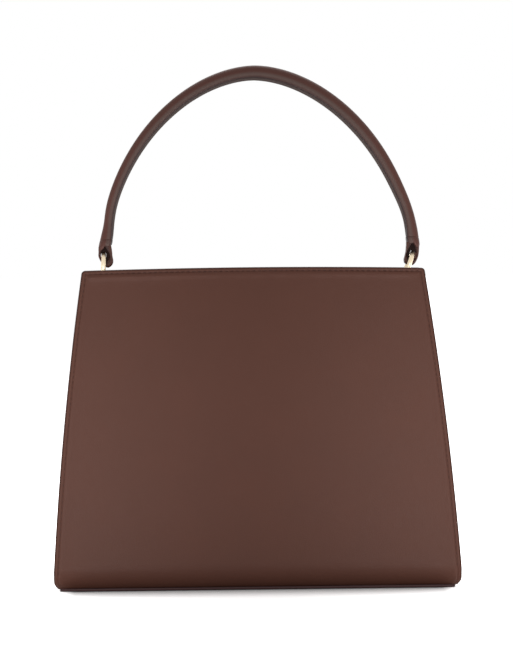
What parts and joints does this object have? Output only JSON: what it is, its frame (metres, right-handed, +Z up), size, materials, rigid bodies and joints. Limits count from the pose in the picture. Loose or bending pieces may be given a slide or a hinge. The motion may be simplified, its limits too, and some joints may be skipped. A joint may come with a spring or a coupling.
{
  "type": "top handle bag",
  "caption": "Structured leather handbag with tapering faces, folded side gussets, a flat base and a rolled handle hung from gold D rings.",
  "frame": {"origin": "centre of the base on the surface the bag stands on", "axes": "+X to the right across the bag, +Y from the pictured face to the back, +Z up"},
  "size_m": [0.31, 0.12, 0.4007],
  "materials": {
    "face_leather": "smooth brown calf leather with a soft satin sheen",
    "handle_leather": "smooth brown leather, rolled and stitched",
    "board": "bonded fibre board and cord",
    "lining": "matte brown microsuede",
    "zip_tape": "woven tape with a moulded coil",
    "gold": "polished pale gold plate"
  },
  "bodies": {
    "bag": {"front_panel": "face_leather", "back_panel": "face_leather", "left_gusset": "face_leather", "right_gusset": "face_leather", "base_panel": "face_leather", "base_board": "board", "base_lining": "lining", "front_stiffener": "board", "back_stiffener": "board", "front_facing": "face_leather", "back_facing": "face_leather", "front_lining": "lining", "back_lining": "lining", "left_gusset_lining": "lining", "right_gusset_lining": "lining", "slip_pocket": "lining", "zip_pocket_bag": "lining", "zip_tape": "zip_tape", "zip_frame": "face_leather", "snap_stud": "gold", "snap_socket": "gold", "left_ring_tab": "handle_leather", "right_ring_tab": "handle_leather"},
    "left_ring": {"left_ring": "gold"},
    "right_ring": {"right_ring": "gold"},
    "handle": {"handle_wrap": "handle_leather", "handle_core": "board", "left_handle_loop": "handle_leather", "right_handle_loop": "handle_leather"},
    "slider": {"zip_slider": "gold"},
    "puller": {"zip_puller": "gold"}
  },
  "joints": [
    {"name": "handle_swing", "type": "hinge", "parent": "bag", "child": "handle", "pos_m": [0, 0, 0.246], "axis": [1, 0, 0], "range_deg": [-50, 50]},
    {"name": "left_ring_tilt", "type": "hinge", "parent": "bag", "child": "left_ring", "pos_m": [-0.1155, 0, 0.232], "axis": [0, 1, 0], "range_deg": [-1.2, 4.8]},
    {"name": "right_ring_tilt", "type": "hinge", "parent": "bag", "child": "right_ring", "pos_m": [0.1155, 0, 0.232], "axis": [0, 1, 0], "range_deg": [-0.8, 1.2]},
    {"name": "zip_slide", "type": "slide", "parent": "bag", "child": "slider", "axis": [1, 0, 0], "range_m": [-0.006, 0.13]},
    {"name": "puller_swing", "type": "hinge", "parent": "slider", "child": "puller", "pos_m": [-0.063, 0.0224, 0.16396], "axis": [0, 0.1819, -0.9833], "range_deg": [0, 170]}
  ]
}
